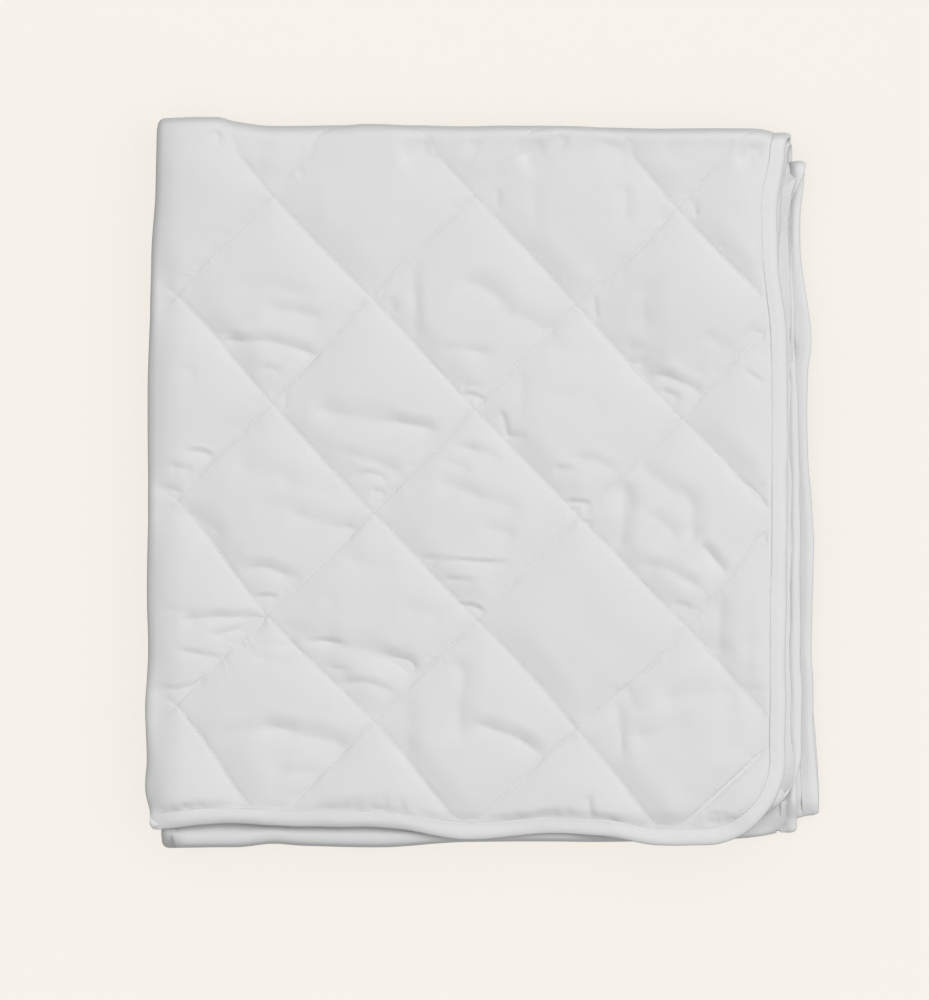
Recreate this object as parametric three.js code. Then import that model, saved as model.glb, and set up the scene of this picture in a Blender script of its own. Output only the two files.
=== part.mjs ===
// A quilted mattress protector for a single bed, bound all round its edge, and folded into eight
// layers as it lies on a shelf: in half across its width, then twice along its length.
// Millimetres, +Z up. It lies on z = 0, with the centre of its outline near x = 0, y = 0.
// The first fold is along the left side (-X), and the bound side edges are along the right (+X).
import * as THREE from "three";

// ---------------------------------------------------------------- driving sizes
const WIDTH = 900; // the cloth spread out
const LENGTH = 2000;
const HALF = WIDTH / 2; // from the first fold to a side edge
const QUARTER = LENGTH / 4; // from one of the later folds to the next
const CORNER_RADIUS = 60; // the cloth's four corners are rounded
const PITCH = 6; // from the middle of one layer to the middle of the next
const LOFT = 5.2; // thickness at the middle of a diamond
const FOLD_LOFT = 4.4; // the most that is left of it in a fold
const SEAM_THICKNESS = 2; // along a line of quilting
const EDGE_THICKNESS = 1.2; // inside the binding
const PUFF_REACH = 30; // the edge's thinness fades out over this width
const FOLD_SQUASH = 0.85; // a fold is pressed to this share of a round one
const OUTLINE_OFFSET = PITCH / 2 + FOLD_LOFT / 2; // from the first fold's centre to its outside

// the quilting: lines on the bias, which cross where column + row is odd
const DIAMOND_ACROSS = 71.2; // from one column of crossings to the next
const DIAMOND_ALONG = 73.2; // from one row of crossings to the next
const FIRST_COLUMN = 14; // distance from the first fold
const FIRST_ROW = 1554.5; // distance from the hidden end

// the binding: a strip folded over the edge, so its section is a narrow C
const BINDING_WIDTH = 10;
const BINDING_THICKNESS = 4.4; // over both of its sides
const BINDING_SLOT = 2.4; // the panel's edge lies in this slot
const BINDING_NOSE = 1.4; // how far it stands out past the panel's edge
const SLOT_GAP = 0.55; // between the panel's edge and the floor of the slot

const TURN = (Math.PI / 4) * PITCH; // half the cloth taken up by the first fold
const BASE_LEFT = -231; // the mean lines of the first fold and of the side edges
const BASE_RIGHT = 213;
const SIDE_REACH = 120; // an edge's own waviness fades out over this width
const MIDDLE = { x: 0.754, y: -0.038 }; // the middle of the pile's box, moved to x = 0, y = 0

// ---------------------------------------------------------------- the folds, as they lie
// The lengthwise path is four straight quarters and three folds between them. half_a is the half of
// the cloth that ends on top, half_b is the other one. Heights and radii are in layers.
// sign: +1 where half_a lies above half_b, and in a fold +1 where half_a is the outer layer of it.
// A fold is round where square is 1, and squarer the lower it is.
const QUARTERS = [
  { name: "first, hidden", height: 5, sign: -1 },
  { name: "second", height: 3, sign: 1 },
  { name: "third, on the ground", height: 1, sign: -1 },
  { name: "fourth, on top", height: 7, sign: 1 },
];
const FOLDS = [
  { line: "inner top", height: 4, radius: 1, sign: -1, side: 1, down: 1, arc: 9, square: 1 },
  { line: "bottom", height: 2, radius: 1, sign: 1, side: -1, down: 1, arc: 9, square: 0.5 },
  { line: "outer top", height: 4, radius: 3, sign: 1, side: 1, down: -1, arc: 26, square: 0.38 },
];

// How far each fold and free end reaches in y, at stations across the folded cloth.
// The outermost layer of a fold has the line's own name, and "inside" is the layer within it.
const ACROSS = [0, 42, 56, 85, 105, 160, 225, 285, 320, 360, 425, 450];
const REACH = [
  { line: "hidden end", y: { s0: -232, s42: -232, s56: -232, s85: -232.5, s105: -233, s160: -233, s225: -235, s285: -236, s320: -237, s360: -239, s425: -241, s450: -241 } },
  { line: "inner top", y: { s0: 237, s42: 237, s56: 237, s85: 236, s105: 235.5, s160: 234, s225: 232, s285: 230, s320: 229, s360: 227.5, s425: 226, s450: 225 } },
  { line: "inner top inside", y: { s0: 231, s42: 231, s56: 231, s85: 230, s105: 229.5, s160: 228, s225: 226, s285: 224, s320: 223, s360: 221.5, s425: 219, s450: 217.5 } },
  { line: "bottom", y: { s0: -254, s42: -253.6, s56: -253.6, s85: -251, s105: -252.5, s160: -253.6, s225: -249.8, s285: -249.5, s320: -250, s360: -249.5, s425: -247, s450: -243.5 } },
  { line: "bottom inside", y: { s0: -248, s42: -247.6, s56: -247.6, s85: -245, s105: -246.5, s160: -247.6, s225: -243.8, s285: -243.5, s320: -244, s360: -243.5, s425: -238.5, s450: -231 } },
  { line: "outer top", y: { s0: 254.5, s42: 255.4, s56: 252, s85: 248.7, s105: 248.8, s160: 250.5, s225: 248.4, s285: 249.6, s320: 248.2, s360: 246.8, s425: 247.4, s450: 244.5 } },
  { line: "outer top inside", y: { s0: 248.5, s42: 249.4, s56: 246, s85: 242.7, s105: 242.8, s160: 244.5, s225: 242.4, s285: 243.6, s320: 242.2, s360: 240.8, s425: 241.2, s450: 239 } },
  { line: "top end", y: { s0: -239, s42: -235.6, s56: -234.9, s85: -236, s105: -237.2, s160: -237.5, s225: -246, s285: -242, s320: -244, s360: -250.3, s425: -250, s450: -249 } },
  { line: "top end below", y: { s0: -237, s42: -233.8, s56: -233.2, s85: -234, s105: -235, s160: -235.5, s225: -243, s285: -240, s320: -242, s360: -247.3, s425: -247, s450: -246 } },
];

// How far the first fold and both side edges reach in x, along the cloth. `quarters` counts from
// the hidden end: 1 is the inner top fold, 2 the bottom fold, 3 the outer top fold, 4 the top end.
const SIDES = [
  { quarters: 0, left: -227, right_a: 214, right_b: 221 },
  { quarters: 0.5, left: -228, right_a: 213, right_b: 219.5 },
  { quarters: 0.75, left: -227, right_a: 212, right_b: 216 },
  { quarters: 0.93, left: -226, right_a: 211, right_b: 212.5 },
  { quarters: 1, left: -225, right_a: 212, right_b: 223.5 },
  { quarters: 1.1, left: -226, right_a: 213, right_b: 220.2 },
  { quarters: 1.2, left: -226.5, right_a: 213.5, right_b: 224.2 },
  { quarters: 1.27, left: -227, right_a: 214, right_b: 227.4 },
  { quarters: 1.33, left: -227, right_a: 214, right_b: 225 },
  { quarters: 1.44, left: -227, right_a: 215, right_b: 225.4 },
  { quarters: 1.5, left: -227, right_a: 215, right_b: 227.6 },
  { quarters: 1.58, left: -227, right_a: 215.5, right_b: 229.3 },
  { quarters: 1.7, left: -226.5, right_a: 216.5, right_b: 229 },
  { quarters: 1.85, left: -225, right_a: 217.5, right_b: 229.4 },
  { quarters: 1.93, left: -224.3, right_a: 218, right_b: 232.6 },
  { quarters: 2, left: -223.6, right_a: 218.2, right_b: 234 },
  { quarters: 2.2, left: -225, right_a: 217, right_b: 228 },
  { quarters: 2.5, left: -227, right_a: 215, right_b: 222 },
  { quarters: 2.8, left: -225, right_a: 212, right_b: 216 },
  { quarters: 3, left: -226, right_a: 213.6, right_b: 213.6 },
  { quarters: 3.06, left: -226.8, right_a: 208, right_b: 210 },
  { quarters: 3.12, left: -227.5, right_a: 203.6, right_b: 206 },
  { quarters: 3.2, left: -230.4, right_a: 204.8, right_b: 205 },
  { quarters: 3.3, left: -231.7, right_a: 210, right_b: 207.5 },
  { quarters: 3.4, left: -232.9, right_a: 210.8, right_b: 208.5 },
  { quarters: 3.55, left: -232.9, right_a: 210.9, right_b: 209 },
  { quarters: 3.68, left: -233.4, right_a: 209.5, right_b: 209.3 },
  { quarters: 3.75, left: -232.6, right_a: 209.4, right_b: 209.4 },
  { quarters: 3.84, left: -234.9, right_a: 209.4, right_b: 209.4 },
  { quarters: 3.91, left: -233.6, right_a: 209.7, right_b: 209.5 },
  { quarters: 3.95, left: -235.2, right_a: 210, right_b: 209.6 },
  { quarters: 4, left: -231.2, right_a: 210, right_b: 209.6 },
];

// The pile is pressed lower near its edges, where there is binding instead of filling.
const PRESSED = [
  { edge: "right", from: (x, y) => 222 - x, share: 0.17, reach: 55 },
  { edge: "left", from: (x, y) => x + 231, share: 0.115, reach: 24 },
  { edge: "top", from: (x, y) => 248 - y, share: 0.03, reach: 30 },
  { edge: "bottom", from: (x, y) => y + 246, share: 0.03, reach: 40 },
];

// ---------------------------------------------------------------- small helpers
const clamp = (t) => Math.min(1, Math.max(0, t));
const ease = (t) => clamp(t) ** 2 * (3 - 2 * clamp(t));
const mix = (a, b, t) => a + (b - a) * t;

// A smooth curve through the points (xs[i], ys[i]), level past its ends.
function through(xs, ys, x) {
  if (x <= xs[0]) return ys[0];
  const last = xs.length - 1;
  if (x >= xs[last]) return ys[last];
  let i = 0;
  while (x > xs[i + 1]) i += 1;
  const step = (k) => (ys[k + 1] - ys[k]) / (xs[k + 1] - xs[k]);
  const slope = (k) => {
    if (k === 0 || k === last) return 0;
    const before = step(k - 1);
    const after = step(k);
    return before * after <= 0 ? 0 : (2 * before * after) / (before + after);
  };
  const span = xs[i + 1] - xs[i];
  const t = (x - xs[i]) / span;
  return (
    (1 + 2 * t) * (1 - t) ** 2 * ys[i] +
    t * (1 - t) ** 2 * span * slope(i) +
    t * t * (3 - 2 * t) * ys[i + 1] +
    t * t * (t - 1) * span * slope(i + 1)
  );
}

const reachOf = (line, s) => {
  const row = REACH.find((r) => r.line === line);
  return through(ACROSS, ACROSS.map((a) => row.y["s" + a]), s);
};
const ALONG = SIDES.map((r) => r.quarters);
const sideOf = (column, v) =>
  through(ALONG, SIDES.map((r) => r[column]), v / QUARTER);

// y of the centre of a fold's curve; share_a is 1 in half_a and 0 in half_b
function foldCentre(fold, s, share_a) {
  const outer = reachOf(fold.line, s);
  const inner = reachOf(fold.line + " inside", s);
  const layer = (sign) => fold.radius * PITCH + (sign * PITCH) / 2 + FOLD_LOFT / 2;
  const outerCentre = outer - fold.side * FOLD_SQUASH * layer(1);
  const innerCentre = inner - fold.side * FOLD_SQUASH * layer(-1);
  const share_outer = fold.sign > 0 ? share_a : 1 - share_a;
  return mix(innerCentre, outerCentre, share_outer);
}

const endLine = (v, s, share_a) =>
  v < QUARTER
    ? reachOf("hidden end", s)
    : mix(reachOf("top end below", s), reachOf("top end", s), share_a);

// ---------------------------------------------------------------- the folded cloth
// Takes a place on the spread cloth to its place in the pile. u runs across from the first fold, above 0 in
// half_a and below 0 in half_b. v runs along from the hidden end. n is the height over the cloth's
// middle, towards the outside of the first fold.
function place(u, v, n) {
  const s = Math.abs(u);
  let across = s - TURN; // along the layer, from the first fold's centre
  let lift = Math.sign(u) * (PITCH / 2 + n); // from the middle of the two halves
  let share_a = u > 0 ? 1 : 0;
  if (s < TURN) {
    const angle = ((Math.PI / 2) * u) / TURN;
    across = -(PITCH / 2 + n) * Math.cos(angle);
    lift = (PITCH / 2 + n) * Math.sin(angle);
    share_a = (1 + Math.sin(angle)) / 2;
  }

  const left = sideOf("left", v);
  const right = mix(sideOf("right_b", v), sideOf("right_a", v), share_a);
  const start = BASE_LEFT + OUTLINE_OFFSET;
  const x =
    start +
    (across * (BASE_RIGHT - start)) / (HALF - TURN) +
    (left - BASE_LEFT) * (1 - ease(s / SIDE_REACH)) +
    (right - BASE_RIGHT) * ease((s - HALF + SIDE_REACH) / SIDE_REACH);

  let y, z;
  const fold = FOLDS.find((f, i) => Math.abs(v - (i + 1) * QUARTER) < f.arc);
  if (fold) {
    const middle = (FOLDS.indexOf(fold) + 1) * QUARTER;
    const angle = ((Math.PI / 2) * (v - middle)) / fold.arc;
    const radius = fold.radius * PITCH + fold.sign * lift;
    const reach = FOLD_SQUASH * radius * Math.max(0, Math.cos(angle)) ** fold.square;
    y = foldCentre(fold, s, share_a) + fold.side * reach;
    z = fold.height * PITCH - fold.down * radius * Math.sin(angle);
  } else {
    const k = Math.min(3, Math.max(0, Math.floor(v / QUARTER)));
    const [before, after] = [FOLDS[k - 1], FOLDS[k]];
    const v0 = before ? k * QUARTER + before.arc : 0;
    const v1 = after ? (k + 1) * QUARTER - after.arc : LENGTH;
    const y0 = before ? foldCentre(before, s, share_a) : endLine(0, s, share_a);
    const y1 = after ? foldCentre(after, s, share_a) : endLine(LENGTH, s, share_a);
    y = y0 + ((y1 - y0) * (v - v0)) / (v1 - v0);
    z = QUARTERS[k].height * PITCH + QUARTERS[k].sign * lift;
  }
  const pressed = PRESSED.reduce(
    (p, e) => p - e.share * (1 - clamp(e.from(x, y) / e.reach)) ** 2,
    1,
  );
  return new THREE.Vector3(x - MIDDLE.x, y - MIDDLE.y, z * pressed);
}

// Distance from the cloth's outline, with its rounded corners.
function fromEdge(u, v) {
  const side = HALF - Math.abs(u);
  const end = Math.min(v, LENGTH - v);
  if (side >= CORNER_RADIUS || end >= CORNER_RADIUS) return Math.min(side, end);
  return CORNER_RADIUS - Math.hypot(CORNER_RADIUS - side, CORNER_RADIUS - end);
}

// Bends a square grid into a rounded corner: rings stay rings.
function roundCorner(u, v) {
  const side = HALF - Math.abs(u);
  const end = Math.min(v, LENGTH - v);
  if (side >= CORNER_RADIUS || end >= CORNER_RADIUS) return [u, v];
  const a = 1 - side / CORNER_RADIUS;
  const b = 1 - end / CORNER_RADIUS;
  const ring = Math.max(a, b);
  if (ring === 0) return [u, v];
  const angle = a > b ? ((Math.PI / 4) * b) / a : Math.PI / 2 - ((Math.PI / 4) * a) / b;
  const s = HALF - CORNER_RADIUS * (1 - ring * Math.cos(angle));
  const e = CORNER_RADIUS * (1 - ring * Math.sin(angle));
  return [Math.sign(u) * s, v < LENGTH / 2 ? e : LENGTH - e];
}

// How full the cloth is: 0 on a line of quilting, 1 at the middle of a diamond.
function fullness(u, v) {
  const column = (u - FIRST_COLUMN) / DIAMOND_ACROSS;
  const row = (v - FIRST_ROW) / DIAMOND_ALONG;
  const fromLine = (t) => Math.abs((((t % 2) + 2) % 2) - 1);
  const crown = (d) => 1 - (1 - d) ** 2.2;
  return crown(fromLine(column + row)) * crown(fromLine(column - row));
}

// Half the cloth's thickness at a place, on its outside or its inside.
function halfThickness(u, v, outside) {
  const puff = ease((fromEdge(u, v) - BINDING_WIDTH - 1) / PUFF_REACH);
  let thickness = mix(SEAM_THICKNESS, LOFT, fullness(u, v));
  const bent =
    Math.abs(u) < 2 * TURN ||
    FOLDS.some((f, i) => Math.abs(v - (i + 1) * QUARTER) < f.arc + 4);
  if (bent) thickness = Math.min(thickness, FOLD_LOFT);
  thickness = mix(EDGE_THICKNESS, thickness, puff);
  const grounded = outside && u > 0 && v > 2 * QUARTER + FOLDS[1].arc && v < 3 * QUARTER - FOLDS[2].arc;
  const flat = grounded
    ? ease(puff) * ease((u - TURN) / 12) *
      ease((v - 2 * QUARTER - FOLDS[1].arc) / 20) *
      ease((3 * QUARTER - FOLDS[2].arc - v) / 20)
    : 0;
  return mix(thickness / 2, PITCH / 2, flat); // what lies on the ground is flat
}

// ---------------------------------------------------------------- grid lines of the cloth
const spread = (from, to, count) =>
  Array.from({ length: count + 1 }, (_, i) => mix(from, to, i / count));

// across a half: crossings of the quilting and half way between them
function columnsOf(sign) {
  const half_step = DIAMOND_ACROSS / 2;
  const lines = [];
  for (let k = -30; k <= 30; k += 1) {
    const s = sign * (FIRST_COLUMN + k * half_step);
    if (s > 2 * TURN && s < HALF - BINDING_WIDTH - 12) lines.push(s);
  }
  return [...lines.sort((a, b) => a - b), HALF - BINDING_WIDTH - 1, HALF];
}
const US = [
  ...columnsOf(1).reverse(),
  ...spread(TURN, -TURN, 4),
  ...columnsOf(-1).map((s) => -s),
];

// along a quarter: as many lines as the quilting asks for on top, and fewer where it is hidden
function rowsOf(k) {
  const from = k === 0 ? BINDING_WIDTH + 1 : k * QUARTER + FOLDS[k - 1].arc;
  const to = k === 3 ? LENGTH - BINDING_WIDTH - 1 : (k + 1) * QUARTER - FOLDS[k].arc;
  const step = [DIAMOND_ALONG, DIAMOND_ALONG, 2 * DIAMOND_ALONG, DIAMOND_ALONG / 2][k];
  const lines = [];
  for (let i = -60; i <= 60; i += 1) {
    const v = FIRST_ROW + i * step;
    if (v > from + 8 && v < to - 8) lines.push(v);
  }
  return [from, ...lines, to];
}
const VS = [
  0,
  ...rowsOf(0),
  ...spread(QUARTER - FOLDS[0].arc, QUARTER + FOLDS[0].arc, 4).slice(1, -1),
  ...rowsOf(1),
  ...spread(2 * QUARTER - FOLDS[1].arc, 2 * QUARTER + FOLDS[1].arc, 4).slice(1, -1),
  ...rowsOf(2),
  ...spread(3 * QUARTER - FOLDS[2].arc, 3 * QUARTER + FOLDS[2].arc, 5).slice(1, -1),
  ...rowsOf(3),
  LENGTH,
];

// ---------------------------------------------------------------- meshes
function solid(vertices, triangles) {
  const geometry = new THREE.BufferGeometry();
  geometry.setAttribute(
    "position",
    new THREE.Float32BufferAttribute(vertices.flatMap((p) => [p.x, p.y, p.z]), 3),
  );
  geometry.setIndex(triangles.flat());
  geometry.computeVertexNormals();
  return geometry;
}

// The quilted panel: the section of both halves is a U, carried along the length through all folds.
function quiltedPanel() {
  const loop = 2 * US.length;
  const vertices = [];
  for (const v of VS) {
    for (let i = 0; i < loop; i += 1) {
      const outside = i < US.length;
      const [u1, v1] = roundCorner(outside ? US[i] : US[loop - 1 - i], v);
      const half = halfThickness(u1, v1, outside);
      vertices.push(place(u1, v1, outside ? half : -half));
    }
  }
  const at = (i, j) => j * loop + ((i + loop) % loop);
  const onLine = (u, v) => {
    const t = (u - FIRST_COLUMN) / DIAMOND_ACROSS - (v - FIRST_ROW) / DIAMOND_ALONG;
    return Math.abs(Math.abs((((t % 2) + 2) % 2)) - 1) < 0.02;
  };
  const triangles = [];
  for (let j = 0; j + 1 < VS.length; j += 1) {
    for (let i = 0; i < loop; i += 1) {
      const [p, q, r, t] = [at(i, j), at(i + 1, j), at(i + 1, j + 1), at(i, j + 1)];
      const u = i < US.length ? US[i] : US[loop - 1 - i];
      if (onLine(u, VS[j + 1])) triangles.push([p, q, t], [q, r, t]);
      else triangles.push([p, q, r], [p, r, t]);
    }
  }
  for (const [j, flip] of [[0, false], [VS.length - 1, true]]) {
    for (let i = 0; i + 1 < US.length; i += 1) {
      const [p, q] = [at(i, j), at(i + 1, j)];
      const [r, t] = [at(loop - 2 - i, j), at(loop - 1 - i, j)];
      if (flip) triangles.push([p, q, r], [p, r, t]);
      else triangles.push([p, r, q], [p, t, r]);
    }
  }
  return solid(vertices, triangles);
}

// The binding: one ring of a C section, carried round the whole outline.
function binding() {
  const section = [
    { inward: BINDING_WIDTH, n: BINDING_THICKNESS / 2 },
    { inward: 1, n: BINDING_THICKNESS / 2 },
    { inward: -BINDING_NOSE, n: BINDING_THICKNESS / 4 },
    { inward: -BINDING_NOSE, n: -BINDING_THICKNESS / 4 },
    { inward: 1, n: -BINDING_THICKNESS / 2 },
    { inward: BINDING_WIDTH, n: -BINDING_THICKNESS / 2 },
    { inward: BINDING_WIDTH, n: -BINDING_SLOT / 2 },
    { inward: -SLOT_GAP, n: -BINDING_SLOT / 2 },
    { inward: -SLOT_GAP, n: BINDING_SLOT / 2 },
    { inward: BINDING_WIDTH, n: BINDING_SLOT / 2 },
  ];
  // once round the outline: up half_a's side, across the top end, down half_b's side, and back
  const ring = [
    ...VS.map((v) => [HALF, v]),
    ...US.slice(1).map((u) => [u, LENGTH]),
    ...[...VS].reverse().slice(1).map((v) => [-HALF, v]),
    ...[...US].reverse().slice(1, -1).map((u) => [u, 0]),
  ];
  const vertices = [];
  for (const [u, v] of ring) {
    const [u1, v1] = roundCorner(u, v);
    const centre_u = Math.max(0, Math.abs(u1) - HALF + CORNER_RADIUS) / CORNER_RADIUS;
    const end = Math.min(v1, LENGTH - v1);
    const centre_v = Math.max(0, CORNER_RADIUS - end) / CORNER_RADIUS;
    const away = Math.hypot(centre_u, centre_v);
    const du = (-Math.sign(u1) * centre_u) / away;
    const dv = ((v1 < LENGTH / 2 ? 1 : -1) * centre_v) / away;
    for (const c of section) vertices.push(place(u1 + du * c.inward, v1 + dv * c.inward, c.n));
  }
  const n = section.length;
  const triangles = [];
  for (let j = 0; j < ring.length; j += 1) {
    for (let i = 0; i < n; i += 1) {
      const [a, b] = [j * n, ((j + 1) % ring.length) * n];
      const k = (i + 1) % n;
      triangles.push([a + i, b + i, b + k], [a + i, b + k, a + k]);
    }
  }
  return solid(vertices, triangles);
}

const cotton = new THREE.MeshStandardMaterial({ color: 0xf1f1f2, roughness: 0.85, metalness: 0 });
const tape = new THREE.MeshStandardMaterial({ color: 0xf4f4f5, roughness: 0.8, metalness: 0 });

const protector = new THREE.Group();
for (const [name, geometry, material] of [
  ["quilted_panel", quiltedPanel(), cotton],
  ["binding", binding(), tape],
]) {
  const mesh = new THREE.Mesh(geometry, material);
  mesh.name = name;
  protector.add(mesh);
}

export default protector;
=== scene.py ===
"""Looks of a quilted mattress protector, bound all round and folded into eight layers, built round
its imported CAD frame. Shapes are worked out in millimetres and made in metres."""
import math

import bpy
import numpy as np
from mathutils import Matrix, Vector


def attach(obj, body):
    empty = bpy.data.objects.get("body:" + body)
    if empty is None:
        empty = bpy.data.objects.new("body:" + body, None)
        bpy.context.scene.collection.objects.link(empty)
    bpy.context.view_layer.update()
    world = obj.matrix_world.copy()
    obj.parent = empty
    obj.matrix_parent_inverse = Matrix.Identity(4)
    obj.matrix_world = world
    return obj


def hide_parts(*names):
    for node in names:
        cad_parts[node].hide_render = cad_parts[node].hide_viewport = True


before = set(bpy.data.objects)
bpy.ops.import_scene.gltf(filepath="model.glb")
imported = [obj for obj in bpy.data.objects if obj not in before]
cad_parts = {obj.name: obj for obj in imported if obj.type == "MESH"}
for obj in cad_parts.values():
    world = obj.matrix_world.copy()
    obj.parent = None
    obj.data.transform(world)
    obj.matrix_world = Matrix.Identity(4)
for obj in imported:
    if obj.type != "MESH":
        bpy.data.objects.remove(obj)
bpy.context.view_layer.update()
MM = 0.001
rng = np.random.default_rng(11)

# ---------------------------------------------------------------- driving sizes, in millimetres
WIDTH, LENGTH = 900.0, 2000.0  # the cloth spread out
HALF, QUARTER = WIDTH / 2, LENGTH / 4
CORNER = 60.0  # radius of the cloth's corners
PITCH = 6.0  # from one layer to the next
FOLD_LOFT = 4.4
FOLD_SQUASH = 0.85
OUTLINE_OFFSET = PITCH / 2 + FOLD_LOFT / 2
ACROSS_STEP, ALONG_STEP = 71.2, 73.2  # from one column or row of crossings to the next
FIRST_COLUMN, FIRST_ROW = 14.0, 1554.5
SEAM_WIDTH = 1 / math.hypot(1 / ACROSS_STEP, 1 / ALONG_STEP)  # from a seam to the middle of its diamonds
BINDING_WIDTH = 10.0
TURN = math.pi / 4 * PITCH
BASE_LEFT, BASE_RIGHT, SIDE_REACH = -231.0, 213.0, 120.0
MIDDLE_X, MIDDLE_Y = 0.754, -0.038

# ---------------------------------------------------------------- the folds
# u runs across the spread cloth from its first fold (above 0 in the half that ends on top), v along
# it from the hidden end, and n is the height over the cloth's middle, towards the outside.
# A fold is round where square is 1, and squarer the lower it is.
QUARTERS = [(5, -1), (3, 1), (1, -1), (7, 1)]  # height in layers, +1 where half a lies above half b
FOLDS = [
    dict(line="inner top", height=4, radius=1, sign=-1, side=1, down=1, arc=9.0, square=1.0),
    dict(line="bottom", height=2, radius=1, sign=1, side=-1, down=1, arc=9.0, square=0.5),
    dict(line="outer top", height=4, radius=3, sign=1, side=1, down=-1, arc=26.0, square=0.38),
]
ACROSS = [0, 42, 56, 85, 105, 160, 225, 285, 320, 360, 425, 450]
REACH = {
    "hidden end": [-232, -232, -232, -232.5, -233, -233, -235, -236, -237, -239, -241, -241],
    "inner top": [237, 237, 237, 236, 235.5, 234, 232, 230, 229, 227.5, 226, 225],
    "inner top inside": [231, 231, 231, 230, 229.5, 228, 226, 224, 223, 221.5, 219, 217.5],
    "bottom": [-254, -253.6, -253.6, -251, -252.5, -253.6, -249.8, -249.5, -250, -249.5, -247, -243.5],
    "bottom inside": [-248, -247.6, -247.6, -245, -246.5, -247.6, -243.8, -243.5, -244, -243.5, -238.5, -231],
    "outer top": [254.5, 255.4, 252, 248.7, 248.8, 250.5, 248.4, 249.6, 248.2, 246.8, 247.4, 244.5],
    "outer top inside": [248.5, 249.4, 246, 242.7, 242.8, 244.5, 242.4, 243.6, 242.2, 240.8, 241.2, 239],
    "top end": [-239, -235.6, -234.9, -236, -237.2, -237.5, -246, -242, -244, -250.3, -250, -249],
    "top end below": [-237, -233.8, -233.2, -234, -235, -235.5, -243, -240, -242, -247.3, -247, -246],
}
SIDES = np.array([  # quarters from the hidden end; reach of the first fold, of edge a and of edge b
    (0, -227, 214, 221), (0.5, -228, 213, 219.5), (0.75, -227, 212, 216), (0.93, -226, 211, 212.5),
    (1, -225, 212, 223.5), (1.1, -226, 213, 220.2), (1.2, -226.5, 213.5, 224.2),
    (1.27, -227, 214, 227.4), (1.33, -227, 214, 225), (1.44, -227, 215, 225.4),
    (1.5, -227, 215, 227.6), (1.58, -227, 215.5, 229.3), (1.7, -226.5, 216.5, 229),
    (1.85, -225, 217.5, 229.4), (1.93, -224.3, 218, 232.6), (2, -223.6, 218.2, 234),
    (2.2, -225, 217, 228), (2.5, -227, 215, 222), (2.8, -225, 212, 216), (3, -226, 213.6, 213.6),
    (3.06, -226.8, 208, 210), (3.12, -227.5, 203.6, 206), (3.2, -230.4, 204.8, 205),
    (3.3, -231.7, 210, 207.5), (3.4, -232.9, 210.8, 208.5), (3.55, -232.9, 210.9, 209),
    (3.68, -233.4, 209.5, 209.3), (3.75, -232.6, 209.4, 209.4), (3.84, -234.9, 209.4, 209.4),
    (3.91, -233.6, 209.7, 209.5), (3.95, -235.2, 210, 209.6), (4, -231.2, 210, 209.6),
])


def ease(t):
    t = np.clip(t, 0, 1)
    return t * t * (3 - 2 * t)


def mix(a, b, t):
    return a + (b - a) * t


def through(xs, ys, x):
    """A smooth curve through the points, level past its ends."""
    xs, ys = np.asarray(xs, float), np.asarray(ys, float)
    step = np.diff(ys) / np.diff(xs)
    slope = np.zeros(len(xs))
    same = step[:-1] * step[1:] > 0
    total = np.where(same, step[:-1] + step[1:], 1)
    slope[1:-1] = np.where(same, 2 * step[:-1] * step[1:] / total, 0)
    x = np.clip(x, xs[0], xs[-1])
    i = np.clip(np.searchsorted(xs, x, side="left") - 1, 0, len(xs) - 2)
    span = xs[i + 1] - xs[i]
    t = (x - xs[i]) / span
    return (
        (1 + 2 * t) * (1 - t) ** 2 * ys[i] + t * (1 - t) ** 2 * span * slope[i]
        + t * t * (3 - 2 * t) * ys[i + 1] + t * t * (t - 1) * span * slope[i + 1]
    )


def fold_centre(fold, s, share_a):
    def layer(sign):
        return fold["radius"] * PITCH + sign * PITCH / 2 + FOLD_LOFT / 2

    outer = through(ACROSS, REACH[fold["line"]], s) - fold["side"] * FOLD_SQUASH * layer(1)
    inner = through(ACROSS, REACH[fold["line"] + " inside"], s) - fold["side"] * FOLD_SQUASH * layer(-1)
    return mix(inner, outer, share_a if fold["sign"] > 0 else 1 - share_a)


def pressed(x, y):
    p = np.ones_like(x)
    for away, share, reach in (
        (222 - x, 0.17, 55), (x + 231, 0.115, 24), (248 - y, 0.03, 30), (y + 246, 0.03, 40),
    ):
        p -= share * (1 - np.clip(away / reach, 0, 1)) ** 2
    return p


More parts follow.
